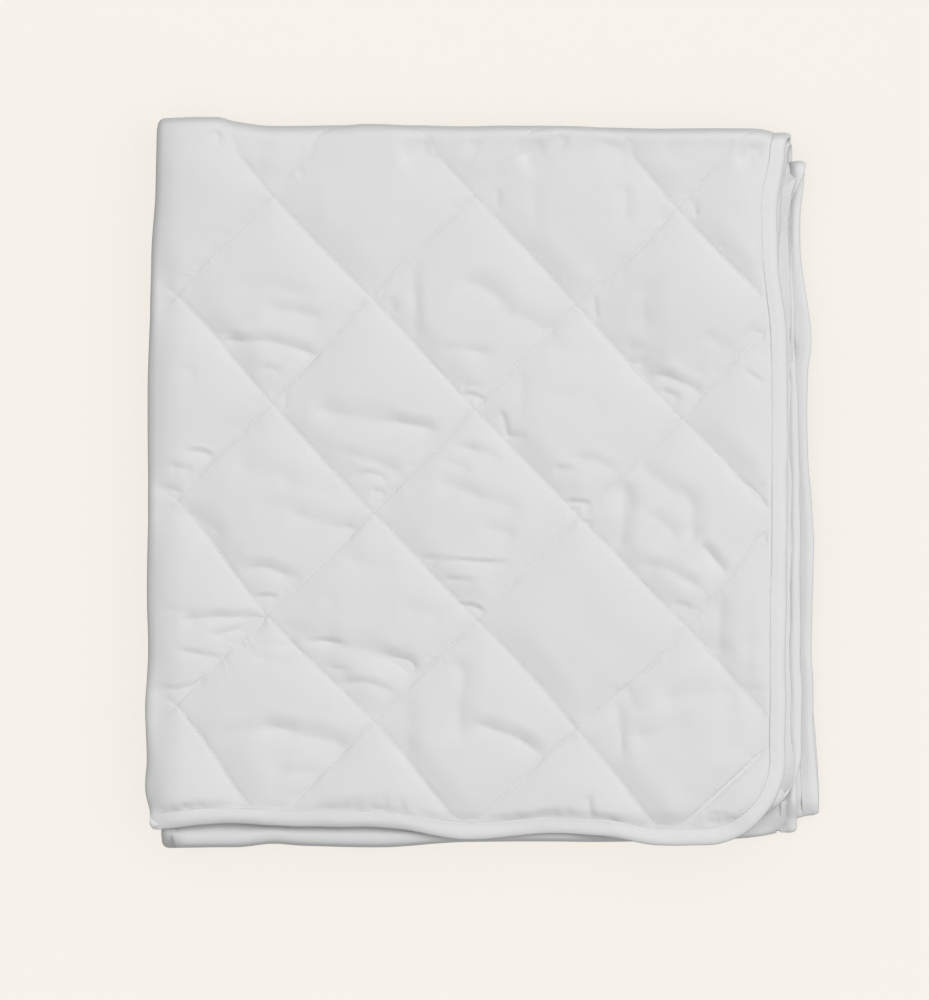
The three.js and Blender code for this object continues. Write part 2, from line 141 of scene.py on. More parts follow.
def place(u, v, n):
    """Takes places on the spread cloth to their places in the pile."""
    u, v, n = (np.asarray(a, float) for a in np.broadcast_arrays(u, v, n))
    s = np.abs(u)
    turning = s < TURN
    angle = np.pi / 2 * np.clip(u / TURN, -1, 1)
    across = np.where(turning, -(PITCH / 2 + n) * np.cos(angle), s - TURN)
    lift = np.where(turning, (PITCH / 2 + n) * np.sin(angle), np.sign(u) * (PITCH / 2 + n))
    share_a = np.where(turning, (1 + np.sin(angle)) / 2, (u > 0) * 1.0)
    q = v / QUARTER
    left = through(SIDES[:, 0], SIDES[:, 1], q)
    right = mix(through(SIDES[:, 0], SIDES[:, 3], q), through(SIDES[:, 0], SIDES[:, 2], q), share_a)
    start = BASE_LEFT + OUTLINE_OFFSET
    x = (
        start + across * (BASE_RIGHT - start) / (HALF - TURN)
        + (left - BASE_LEFT) * (1 - ease(s / SIDE_REACH))
        + (right - BASE_RIGHT) * ease((s - HALF + SIDE_REACH) / SIDE_REACH)
    )
    y, z = np.zeros_like(x), np.zeros_like(x)
    centres = [fold_centre(f, s, share_a) for f in FOLDS]
    hidden = through(ACROSS, REACH["hidden end"], s)
    top = mix(through(ACROSS, REACH["top end below"], s), through(ACROSS, REACH["top end"], s), share_a)
    for k, (height, sign) in enumerate(QUARTERS):
        here = (v >= k * QUARTER) & (v < (k + 1) * QUARTER)
        if k == 0:
            here |= v < 0
        if k == 3:
            here |= v >= LENGTH
        v0 = k * QUARTER + FOLDS[k - 1]["arc"] if k > 0 else 0.0
        v1 = (k + 1) * QUARTER - FOLDS[k]["arc"] if k < 3 else LENGTH
        y0 = centres[k - 1] if k > 0 else hidden
        y1 = centres[k] if k < 3 else top
        y = np.where(here, y0 + (y1 - y0) * (v - v0) / (v1 - v0), y)
        z = np.where(here, height * PITCH + sign * lift, z)
    for i, f in enumerate(FOLDS):
        away = v - (i + 1) * QUARTER
        here = np.abs(away) < f["arc"]
        angle = np.pi / 2 * np.clip(away / f["arc"], -1, 1)
        radius = f["radius"] * PITCH + f["sign"] * lift
        reach = FOLD_SQUASH * radius * np.maximum(0, np.cos(angle)) ** f["square"]
        y = np.where(here, centres[i] + f["side"] * reach, y)
        z = np.where(here, f["height"] * PITCH - f["down"] * radius * np.sin(angle), z)
    return np.stack([x - MIDDLE_X, y - MIDDLE_Y, z * pressed(x, y)], axis=-1)


# ---------------------------------------------------------------- the quilting
# Lattice coordinates (c, r) count columns and rows of crossings; seams cross where c + r is odd.
# The real crossings stray from an even lattice by these millimetres: column, row, across, along.
STRAY = [
    (1, 0, -0.6, 1.0), (3, 0, 1.0, 0.5), (5, 0, 3.8, 7.4), (0, 1, 4.6, 2.8), (2, 1, -1.8, 0.8),
    (4, 1, 1.6, 4.7), (6, 1, 8.8, 6.1), (1, 2, 0.3, 1.4), (3, 2, 0.3, 1.8), (5, 2, 4.4, 5.5),
    (0, 3, 6.5, -0.8), (2, 3, 0.3, 6.2), (4, 3, 3.8, 6.4), (6, 3, 5.1, 0.8), (1, 4, -3.0, 5.7),
    (3, 4, 2.4, 1.8), (5, 4, 9.3, 3.5), (0, 5, 7.9, -4.4), (2, 5, 0.3, 6.1), (4, 5, 1.6, 7.7),
    (6, 5, 7.3, 4.4), (1, 6, -3.9, 10.8), (3, 6, -5.4, 3.1), (5, 6, -5.5, 3.6),
]


def smooth_field(points, values):
    """A thin plate through the values at the points; returns its function."""
    p = np.array(points, float)
    count = len(p)

    def kernel(d2):
        return 0.5 * d2 * np.log(np.maximum(d2, 1e-12))

    a = np.zeros((count + 3, count + 3))
    a[:count, :count] = kernel(((p[:, None] - p[None]) ** 2).sum(-1)) + 0.02 * np.eye(count)
    a[:count, count:] = np.column_stack([np.ones(count), p])
    a[count:, :count] = a[:count, count:].T
    w = np.linalg.solve(a, np.concatenate([values, np.zeros(3)]))

    def field(c, r):
        out = w[count] + w[count + 1] * c + w[count + 2] * r
        for (pc, pr), k in zip(p, w[:count]):
            out = out + k * kernel((c - pc) ** 2 + (r - pr) ** 2)
        return out

    return field


stray_across = smooth_field([s[:2] for s in STRAY], [s[2] for s in STRAY])
stray_along = smooth_field([s[:2] for s in STRAY], [s[3] for s in STRAY])


LAST_U, LAST_V = FIRST_COLUMN + 5.9444 * ACROSS_STEP, FIRST_ROW + 5.8889 * ALONG_STEP


def stray(ul, vl):
    """How far the quilting strays there: only the layer on top does."""
    c = np.clip((ul - FIRST_COLUMN) / ACROSS_STEP, 0, 6.1)
    r = np.clip((vl - FIRST_ROW) / ALONG_STEP, -0.8, 6.1)
    on_top = ease((vl - 1300) / 150) * ease((ul + 150) / 150)
    du = np.clip(stray_across(c, r), -8, 9.5) * ease(ul / 15)
    return du * on_top, np.clip(stray_along(c, r), -8, 11) * on_top


def strayed(ul, vl):
    """From an even lattice to the real cloth, whose edges stay where they are."""
    du, dv = stray(np.minimum(ul, LAST_U), np.minimum(vl, LAST_V))
    du = du * np.clip((HALF - ul) / (HALF - LAST_U), 0, 1)
    dv = dv * np.clip((LENGTH - vl) / (LENGTH - LAST_V), 0, 1)
    return ul + du, vl + dv


def unstrayed(u, v, ul, vl):
    """Back to the even lattice, near the edges, where the grid leaves it."""
    ul, vl = np.array(ul, float), np.array(vl, float)
    near = (u > HALF - 75) & (v > LENGTH - 75) | (ul > LAST_U - 0.1) | (vl > LAST_V - 0.1)
    near &= v > QUARTER * 3
    goal_u, goal_v = u[near], v[near]
    a, b = goal_u.copy(), goal_v.copy()
    for _ in range(14):
        du, dv = stray(a, b)
        a, b = goal_u - du, goal_v - dv
    ul[near], vl[near] = a, b
    return ul, vl


def lattice(ul, vl):
    return (ul - FIRST_COLUMN) / ACROSS_STEP, (vl - FIRST_ROW) / ALONG_STEP


def from_line(t):
    """0 on a seam, 1 half way to the next one."""
    return np.abs(np.mod(t, 2) - 1)


def from_edge(u, v):
    side, end = HALF - np.abs(u), np.minimum(v, LENGTH - v)
    round_ = CORNER - np.hypot(CORNER - side, CORNER - end)
    return np.where((side < CORNER) & (end < CORNER), round_, np.minimum(side, end))


def round_corner(u, v):
    """Bends a square grid into a rounded corner: rings stay rings."""
    side, end = HALF - np.abs(u), np.minimum(v, LENGTH - v)
    a, b = 1 - side / CORNER, 1 - end / CORNER
    corner = (a > 0) & (b > 0)
    ring = np.maximum(np.maximum(a, b), 1e-9)
    a, b = np.maximum(a, 1e-9), np.maximum(b, 1e-9)
    angle = np.where(a > b, np.pi / 4 * b / a, np.pi / 2 - np.pi / 4 * a / b)
    s = HALF - CORNER * (1 - ring * np.cos(angle))
    e = CORNER * (1 - ring * np.sin(angle))
    return (
        np.where(corner, np.sign(u) * s, u),
        np.where(corner, np.where(v < LENGTH / 2, e, LENGTH - e), v),
    )


# ---------------------------------------------------------------- smooth random waves
def waves(t, lane=0.0, seed=1):
    """Smooth noise from -1 to 1 along t, one new value a unit, different in each lane."""
    t = np.asarray(t, float)
    i = np.floor(t)
    f = t - i
    f = f * f * (3 - 2 * f)

    def value(k):
        h = np.sin(k * 127.1 + lane * 311.7 + seed * 74.7) * 43758.5453
        return 2 * (h - np.floor(h)) - 1

    return mix(value(i), value(i + 1), f)


def cloud(x, y, size, seed=1):
    """Smooth noise from -1 to 1 over the plane, in patches of that size."""
    a, b = x / size, y / size
    i = np.floor(b)
    f = b - i
    f = f * f * (3 - 2 * f)
    return mix(waves(a, i, seed), waves(a, i + 1, seed), f)


# ---------------------------------------------------------------- relief of the quilted cloth
CROWN = 3.4  # height of the middle of a diamond over the cloth's middle, on top
DIP = -0.9  # and of a seam
# Creases on top, in millimetres from the middle of the pile: start, end, how far the middle of the
# line bows to its left, depth (below 0 for a ridge), half width, and how much its far side swells.
CREASES = [
    (25.4, 226.3, 53.9, 243.7, 0, 1.1, 4.5, 0.3), (177.5, 226.4, 203.2, 238.9, 0, 1.1, 4, 0.3),
    (81.6, 238.9, 101.1, 231.9, 0, 0.8, 3.5, 0.3), (-57.2, 228.5, -37.8, 238.9, 0, 1.1, 4.5, 0.3),
    (-185, 245.8, -180.9, 238.9, 0, 0.9, 1.8, 0.3), (138.0, -238.3, 191.5, -189.0, 0, 1.6, 0.55, 0.0),
    (171.9, 10.4, 200.4, -17.4, 0, 1.4, 0.9, 0.3),
    (-174.6, 140.2, -120.4, 134, 0.7, 0.5, 4, 0.4), (-148.9, 122.2, -110, 116.6, 0, 1.1, 3.2, 0.8),
    (-194.1, 106.9, -169.8, 106.9, 0, 0.6, 4, 0.3), (-116.3, 204.1, -116.3, 179.8, 0, 0.3, 3, 0.3),
    (-150.3, 237.5, -153.1, 211.1, 0, 0.7, 4.5, 0.3), (-179.5, 100, -115.6, 90.9, 3.5, 1.7, 3, 0.7),
    (-153.1, 80.5, -139.9, 78.4, 1, 0.8, 2, 0.5), (-212.1, 81.9, -198.9, 78.4, 0, 0.5, 3, 0.3),
    (-115.6, 52.7, -57.3, 43.7, 0.7, 1.3, 4.5, 0.6), (-64.2, 45.1, -30.2, 37.5, 1, 1.7, 3.2, 0.7),
    (-98.2, 24.3, -57.3, 9.7, 0, 1, 3.2, 0.5), (-88.5, 7.6, -66.3, 3.4, 2.1, 1, 2.2, 0.6),
    (-76.7, -4.2, -67.7, -4.9, 0, 0.6, 1.6, 0.5), (-169.8, 14.5, -130.2, 4.1, 0.7, 0.9, 5, 0.6),
    (-133.6, 4.1, -102.4, -7, 0.7, 0.5, 5, 0.4), (-155.9, -12.5, -126.7, -18.1, 0, 0.5, 4, 0.3),
    (-130.9, -18.8, -88.5, -31.3, 0, 1.2, 4, 0.6), (-205.9, 22.9, -187.1, 19.4, 1, 0.9, 1.8, 1),
    (-217, 13.2, -201.7, 11.1, 0, 0.8, 2.2, 0.5), (-225.3, -1.4, -208.6, -4.2, 0, 1, 2.2, 0.5),
    (-212.8, -17.4, -178.8, -32, 0.7, 0.8, 4, 0.3), (-185, 43.7, -163.5, 41.6, 0, 0.3, 3, 0.3),
    (-135.7, 63.2, -136.4, 50, 0, 0.6, 1.6, 0.2), (-164.9, -55.6, -128.8, -64.6, 1, 1.4, 3.2, 0.7),
    (-157.9, -77.8, -142.7, -78.5, 0.3, 1, 1.6, 1), (-207.3, -94.5, -153.1, -94.5, 3.8, 1.7, 2.8, 0.7),
    (-187.8, -104.2, -154.5, -95.2, -1.4, 1.2, 2.2, 0.6),
    (-212.1, -115.3, -181.6, -120.9, 0, 1, 2, 0.6), (-226.7, -141, -192, -136.8, -2.1, 0.9, 1.8, 0.7),
    (-162.1, -117.4, -126.7, -125, 0, 0.6, 3.2, 0.5),
    (-156.6, -109.8, -130.9, -111.1, -0.7, 0.5, 1.6, 0.4),
    (-183.6, -173, -126.7, -170.2, 2.8, 0.8, 3.5, 0.7), (-153.1, -166, -95.4, -181.3, 2.1, 1.7, 4, 0.6),
    (-112.1, -79.9, -101.7, -79.9, 0, 0.4, 1.6, 0.3), (-121.8, -108.4, -95.4, -110.5, 0.3, 1, 1.7, 0.7),
    (-109.3, -108.4, -46.1, -126.4, 1.4, 1.5, 4.5, 0.6), (-106.6, -126.4, -92, -129.2, 0, 0.7, 2, 0.4),
    (-98.2, -138.9, -61.4, -143.1, 3.5, 1.3, 2.6, 0.7), (-139.2, -95.9, -105.9, -106.3, 0, 0.8, 4, 0.2),
    (-221.1, -87.5, -201, -87.5, 0.7, 0.5, 1.8, 0.4), (-95.4, -50.7, -60.7, -58.4, 0, 0.6, 4, 0.4),
    (-44.8, 154.1, -44.1, 103.4, -0.7, 1, 2.8, 0.5), (-13.5, 142.3, 17.7, 125.7, 1.4, 1.3, 4.5, 0.6),
    (16.4, 121.5, 51.1, 106.2, 0.7, 1.3, 4.5, 0.6), (10.8, 204.1, 11.5, 191.6, 0, 0.8, 1.6, 0.3),
    (38.6, 211.1, 37.2, 175, 0, 0.7, 4, 0.3), (100.4, 206.2, 101.8, 181.9, 0.7, 1.1, 3, 0.6),
    (124.7, 193, 126.1, 181.2, 0, 0.4, 3, 0.3), (78.2, 130.5, 79.6, 113.9, 0, 0.8, 1.6, 0.3),
    (-62.8, 129.1, -59.3, 118, 0, 0.8, 2.5, 0.2), (-27.4, 95.8, 7.3, 90.2, 1, 0.9, 2.8, 0.6),
    (-14.9, 69.4, -0.3, 68.7, 0, 0.4, 1.8, 0.4), (-12.8, 62.5, 1.8, 58.3, 1.7, 0.9, 1.6, 0.7),
    (-19.1, 26.4, 11.5, 18, 2.1, 1.2, 2.8, 0.6), (-26.7, 18, -8.6, 11.1, 0, 0.8, 2.8, 0.4),
    (-29.5, 1.4, 24.7, -16.7, 0.7, 1, 3.5, 0.5), (1.1, -29.2, 21.9, -34.1, 0, 0.8, 3, 0.4),
    (13.6, 50, 17.7, 34, 0.7, 1.1, 1.7, 0.3), (15.7, 34, 29.6, 33.3, 0, 0.9, 1.6, 0.4),
    (28.9, 77, 28.2, 44.4, 0, 0.7, 3.5, 0.3), (51.1, 11.8, 65.7, 9.7, 0, 0.9, 2, 0.8),
    (65.7, 19.4, 93.4, 10.4, 1.4, 1, 2.6, 0.5), (46.9, 64.5, 85.1, 55.5, 0, 0.4, 4, 0.3),
    (48.3, 95.1, 79.6, 92.3, 0, 0.6, 3.5, 0.4), (59.4, -12.5, 74.7, -13.2, 0.7, 1, 1.6, 0.8),
    (59.4, -16.7, 67.7, -18.1, 0, 0.6, 1.4, 0.3), (67.7, -26.4, 76.1, -27.1, 0, 0.6, 1.4, 0.2),
    (99.7, -0, 96.9, -44.5, 1.4, 1.1, 3.5, 0.6), (-44.1, -50, -31.6, -51.4, 0, 0.8, 1.5, 0.3),
    (-30.9, -52.1, 19.1, -54.9, 0.3, 0.9, 1.5, 0.9), (-27.4, -66, -5.2, -66.7, 0, 0.9, 1.6, 0.6),
    (-14.9, -83.4, 1.1, -88.2, 1.4, 1.1, 1.5, 0.9), (-53.8, -84.8, -29.5, -92.4, 0, 0.9, 4, 0.5),
    (-71.1, -116.7, -44.1, -126.4, 0, 1.2, 3, 0.6), (-12.8, -123.6, -14.2, -177.8, 0, 1.3, 4.5, 0.6),
    (-49.6, -148.6, -49.6, -191.7, 0, 0.8, 4, 0.5), (-5.9, -165.3, 40.7, -186.1, 2.8, 1.7, 3.5, 0.7),
    (94.8, -154.2, 99.7, -189.6, 0.7, 1.3, 3, 0.6), (99.7, 98.6, 126.1, 91.6, 0, 1.4, 4.5, 0.3),
    (110.8, 87.5, 119.1, 70.8, 0, 1.2, 5, 0.2), (122.6, 75.7, 151.8, 63.2, 2.8, 1.8, 3, 0.7),
    (124.7, 64.5, 137.2, 59.7, 0.7, 0.9, 2, 0.4), (137.9, 79.8, 154.6, 76.4, 0, 0.5, 3, 0.3),
    (156.6, 105.5, 162.2, 97.2, 0, 0.6, 3, 0.3), (162.2, 99.3, 175.4, 94.4, 0, 0.6, 3, 0.3),
    (185.8, 109.7, 194.8, 101.4, 0, 0.9, 3, 0.3), (181.6, 79.8, 197.6, 69.4, 0, 0.7, 1.6, 0.5),
    (192.1, 93, 199, 88.9, 0, 0.4, 1.6, 0.4), (147.6, 197.2, 149, 186.1, 0, 0.7, 1.6, 0.2),
    (110.1, 13.2, 119.8, 4.8, 0, 0.6, 4, 0.3), (117.1, 9, 135.8, -8.4, 1.4, 0.9, 4, 0.5),
    (138.6, -0.7, 147.6, -41, 4.2, 1.2, 4, 0.5), (102.5, -0, 103.9, -19.5, 0, 0.8, 4, 0.3),
    (117.1, -20.2, 135.8, -37.5, 1.4, 0.9, 3.5, 0.5), (152.5, -42.4, 169.8, -61.1, 0.7, 2, 3, 0.6),
    (113.6, -54.2, 151.1, -70.9, 1.4, 1.4, 3.2, 0.6), (132.3, -83.4, 144.8, -84.8, 0.7, 0.9, 1.6, 0.5),
    (166.4, -79.2, 167.1, -120.9, 0.7, 1.3, 4, 0.6), (187.2, -104.9, 187.2, -133.4, 0, 0.7, 4, 0.3),
    (181.6, -141.7, 199, -143.1, 0, 0.6, 1.6, 0.4), (124.7, -149.3, 175.4, -143.1, 4.2, 1.1, 5, 0.6),
    (103.9, -141, 106.6, -158.4, 0, 0.6, 4, 0.3), (101.8, -174.3, 140.7, -163.9, -2.1, 1.1, 4.5, 0.6),
    (171.9, -150, 173.3, -188.2, 0, 0.6, 5, 0.4), (115, 138.9, 116.4, 101.4, 0, 0.7, 5, 0.4),
    (81.6, 127.7, 109.4, 106.9, 0, 0.7, 8, 0), (-155.2, -185.5, -133.6, -188.9, 0, 0.5, 3.5, 0.4),
    (-147.5, -197.3, -114.2, -200, 0, 0.7, 3.5, 0.4), (75.4, -216.7, 76.8, -233.4, 0, 1.2, 2.2, 0.5),
    (34.4, -227.8, 45.5, -232, 0, 0.9, 2.2, 0.2), (49.7, -225, 51.8, -234.1, 0, 0.7, 2, 0.3),
    (59.4, -225, 61.5, -234.1, 0, 0.6, 2, 0.3), (67.7, -225, 69.1, -234.1, 0, 0.6, 2, 0.3),
    (155.2, -233.4, 173.3, -236.1, 0, 1, 2.5, 0.2), (162.2, -227.8, 163.6, -236.1, 0, 0.5, 1.6, 0.3),
    (167.7, -227.8, 169.1, -236.1, 0, 0.5, 1.6, 0.3),
    (-208.6, -223.6, -167.7, -223.6, 0, 0.9, 2.4, 0.1), (-117.7, -223.6, -81.6, -223.6, 0, 1.1, 3, 0.1),
    (-81.6, -223.6, -35.7, -226.4, 0, 0.8, 4, 0.1), (-95.4, -218.1, -94.1, -227.8, 0, 0.4, 1.8, 0.3),
    (-86.4, -218.1, -85, -227.8, 0, 0.4, 1.8, 0.3), (-76.7, -218.1, -75.3, -227.8, 0, 0.5, 1.8, 0.3),
    (-68.4, -216.7, -65.6, -227.8, 0, 0.5, 2, 0.3), (-55.9, -218.1, -53.1, -229.2, 0, 0.5, 2, 0.3),
    (53.9, 241.6, 81.6, 240.9, 0, 0.6, 5, 0), (52.5, 244.4, 59.4, 238.9, 0, 0.8, 3, 0),
    (-55.9, 237.5, -37.1, 234.7, 0, 0.7, 4, 0), (-10, 240.2, -1, 236.8, 0, 0.6, 3.5, 0),
    (27.5, 227.7, 41.4, 234.7, 0, 0.9, 3, 0.3), (124.7, 236.8, 138.6, 230.5, 0, 0.5, 4, 0.2),
    (177.5, 226.4, 187.2, 227.7, 0, 0.6, 3, 0.2), (184.4, 234, 194.1, 234.7, 0, 0.7, 3, 0.2),
    (194.1, -35.5, 199, -40.3, 0, 0.9, 2, 0.2), (190.7, -127.8, 199, -131.3, 0, 0.4, 1.6, 0.4),
    (194.1, -0, 198.3, -4.2, 0, 0.5, 1.8, 0.4),
]

# How far the fuller top fold rises above the cloth before it, at places across the pile.
RISE_AT = [-215, -195, -125, -90, -45, 30, 90, 160, 205]
RISE = [4.5, 4.5, 1.2, 1.2, 4.6, 6.4, 8.0, 8.0, 5.0]
TOP_AT, TOP_LINE = [-230, -180, -130, -70, 60, 130, 200], [254.5, 254, 249, 249.5, 248, 247.5, 247]

# Small puckers where the quilting gathers the cloth: as above, scattered along the seams.
PUCKERS = []
for _ in range(170):
    family, seam = rng.integers(2), 2 * rng.integers(-6, 6) + 1
    t = rng.uniform(-7, 12)
    a, b = (seam, t) if family else (t, seam)
    c, r = (a + b) / 2, (a - b) / 2
    angle = math.radians(rng.uniform(-75, 30)) if family else math.radians(rng.uniform(-35, 75))
    size, side = rng.uniform(5, 13), rng.choice([-1, 1, 1])
    depth, width = rng.uniform(0.15, 0.4), rng.uniform(0.8, 1.3)
    if not (-0.2 < c < 6 and -0.7 < r < 6):
        continue
    at = place(*strayed(FIRST_COLUMN + ACROSS_STEP * c, FIRST_ROW + ALONG_STEP * r), 2.0)
    dx, dy = size * math.cos(angle), size * math.sin(angle)
    out = (0.6 + 0.35 * size) * side
    x0, y0 = at[0] + (-out if family else out) - dx / 2, at[1] + out - dy / 2
    PUCKERS.append((x0, y0, x0 + dx, y0 + dy, rng.uniform(-1, 1), depth, width, 0.5))


NOTED_X = 0.79  # listed places lie this much too far to the right


def crease_relief(x, y):
    """Valleys with a sharp bottom: steep on the side of the light, and slowly rising past it."""
    out = np.zeros_like(x)
    x = x + NOTED_X
    for number, (x0, y0, x1, y1, bow, depth, width, swell) in enumerate(CREASES + PUCKERS):
        dx, dy = x1 - x0, y1 - y0
        length = math.hypot(dx, dy)
        ex, ey = dx / length, dy / length
        run = (x - x0) * ex + (y - y0) * ey
        away = -(x - x0) * ey + (y - y0) * ex
        near = (run > -0.3 * length) & (run < 1.3 * length) & (away > -9 * width - abs(bow)) & (away < 6 * width + abs(bow))
        if not near.any():
            continue
        run, away = run[near], away[near]
        t = run / length
        away = away - bow * 4 * t * (1 - t) + 0.45 * width + 0.35 * width * waves(run / 15, number, 61)
        soft = min(max((width - 2) / 2.5, 0), 1)
        b = np.where(away > 0, away / ((1.1 + 0.45 * soft) * width), away / (2.3 * width))
        fade = min(0.42 * length, 14.0)
        ends = ease(run / fade + 0.45) * ease((length - run) / fade + 0.45)
        uneven = 1 + 0.3 * waves(run / 12, number, 62)
        rise = 0.3 * swell * np.exp(-(((b - 2.0) / 0.9) ** 2))
        out[near] += (1.6 + 0.3 * soft) * ends * uneven * min(depth, 0.35 + 0.7 * depth) * (rise - np.exp(0.2 - np.sqrt(b * b + 0.04)))
    return out


# How much filling has heaped up there, diamond by diamond: a row for each such seam, from the lower
# left of the pile to its upper right, and in it the diamonds from the upper left to the lower right.
HEAP = np.array([
    (0.0, 0.0, 0.0, 0.0, 0.0, 0.0), (0.6, 0.6, 0.45, 0.7, 0.75, 0.75), (0.6, 0.6, 1.0, 0.95, 1.0, 1.1),
    (0.4, 0.5, 0.95, 1.0, 1.05, 1.3), (0.6, 0.6, 1.0, 1.0, 1.45, 1.45), (0.6, 0.6, 0.6, 1.45, 1.45, 1.45),
])


def seam_relief(c, r):
    """Height over the cloth's middle of the quilted face on top."""
    a, b = c + r, c - r
    da, db = from_line(a), from_line(b)
    n = DIP + (CROWN - DIP) * (1 - (1 - da) ** 3.2) * (1 - (1 - db) ** 3.2)
    # filling piles up along the upper side of the seams that run down to the right
    past = np.mod(b - 1, 2) * SEAM_WIDTH
    down = np.mod(a - 1, 2) / 2
    full = HEAP[np.clip(np.floor((b + 5) / 2), 0, 5).astype(int), np.clip(np.floor((a + 1) / 2), 0, 5).astype(int)]
    n += 0.9 * full * np.exp(-(((past - 17) / 8.5) ** 2)) * ease(down / 0.55) * ease((1 - down) / 0.16)
    for d, along, across, seed, depth in ((da, b, a, 3, 0.9), (db, a, b, 7, 0.5)):
        away = d * SEAM_WIDTH
        t = along * SEAM_WIDTH
        side = np.floor(across + 1)
        seam = np.round((across - 1) / 2)
        n -= depth * (1 + 0.35 * waves(t / 12, seam, seed + 2)) * np.exp(-away / 0.8)
        strength = np.clip(0.45 + 0.75 * waves(t / 31, seam, seed + 1), 0, 1.1)
        fold = 1 - np.abs(waves((t + 0.5 * away) / 6.1, side, seed))
        ripple = 1.4 * fold**2 - 0.7 + 0.5 * waves((t - 0.4 * away) / 9.7, side + 50, seed)
        n += 0.45 * strength * ripple * np.exp(-away / 6.5) * (1 - np.exp(-away / 1.3))
    return n


def thickness_outside(ul, vl, u, v, x, y):
    c, r = lattice(*unstrayed(u, v, ul, vl))
    edge = from_edge(u, v)
    plain = 1 + 1.6 * (1 - (1 - from_line(c + r)) ** 2.2) * (1 - (1 - from_line(c - r)) ** 2.2)
    bent = 1 - ease((np.abs(u) - 9) / 12)
    for i, f in enumerate(FOLDS):
        bent = np.maximum(bent, 1 - ease((np.abs(v - (i + 1) * QUARTER) - f["arc"] - 2) / 14))
    plain = mix(plain, 1.85 + 0.3 * np.minimum(plain, 2.2) / 2.2, bent)
    top = ease((v - 1478) / 30) * ease((u + 2) / 14)
    # beside the binding the cloth on top comes down steeply, and its seam gathers it, most at the bottom
    rise = np.clip(edge - BINDING_WIDTH + 0.5, 0, 30)
    gather = waves((x + y) / 5.6, 0, 71) + 0.6 * waves((x + y) / 13.1, 0, 72)
    low = ease((-y - 205) / 25)
    rise = rise + mix(0.4, 1.6, low) * gather * ease(rise / 3) * np.exp(-rise / 6)
    puff = mix(ease((edge - BINDING_WIDTH) / 30), 1 - (1 - np.clip(rise / mix(14, 10, low), 0, 1)) ** 2.2, top)
    rich = mix(2.6, seam_relief(c, r), 0.25 + 0.75 * ease((v - 1512) / 34)) + crease_relief(x, y)
    rich = rich + 0.22 * cloud(x, y, 14, 5) + 0.4 * cloud(x + 0.4 * y, y, 33, 9)
    n = mix(plain, rich, top)
    lip = 0.7 + 0.25 * ease((edge - 5) / 5) * top
    n = mix(lip, n, puff)
    trough = mix(0.8, 0.3, low) * np.exp(-((rise / 1.6) ** 2)) + 1.1 * low * (1 + 0.6 * waves(x / 8.3, 0, 73)) * np.exp(-(((rise - 1.5) / 3.2) ** 2))
    n = n - trough * top * ease((edge - BINDING_WIDTH + 2.5) / 2.5)
    grounded = (
        ease(puff) * ease((u - TURN) / 12) * ease((v - 2 * QUARTER - 9) / 20)
        * ease((3 * QUARTER - 26 - v) / 20)
    )
    return mix(n, 3.0, np.where(u > 0, grounded, 0))


def thickness_inside(ul, vl, u, v):
    puff = ease((from_edge(u, v) - BINDING_WIDTH - 1) / 30)
    bent = 1 - ease((np.abs(u) - 9) / 12)
    for i, f in enumerate(FOLDS):
        bent = np.maximum(bent, 1 - ease((np.abs(v - (i + 1) * QUARTER) - f["arc"] - 2) / 14))
    return mix(0.7, mix(2.35, 2.2, bent), puff)


# Where the whole pile lies a little higher or lower: place, radius, height at the top layer.
UNEVEN = [
    (-150, 150, 90, 0.6), (60, 170, 80, -0.5), (170, 60, 70, -0.9), (-60, -20, 100, 0.7),
    (70, -100, 90, 0.5), (-190, -238, 70, 2.5), (150, -190, 60, -1.0), (-60, -238, 70, 2.5), (-188, 225, 40, 4.0),
    (150, 140, 45, 3.0), (88, 84, 38, -2.2),
]


# Hollows between the lower layers along the open edges: place, radii across and along, depth.
HOLLOWS = [
    (210, 108, 3, 11, 5), (214.5, 92, 3.5, 8, 5), (206, 176, 4, 24, 8), (212.5, 176, 3, 22, 4),
    (210.5, -50, 3, 14, 7), (209.5, -102, 3, 20, 4), (211.5, -200, 4, 18, 6),
    (209, 208, 6.5, 15, 13),
]


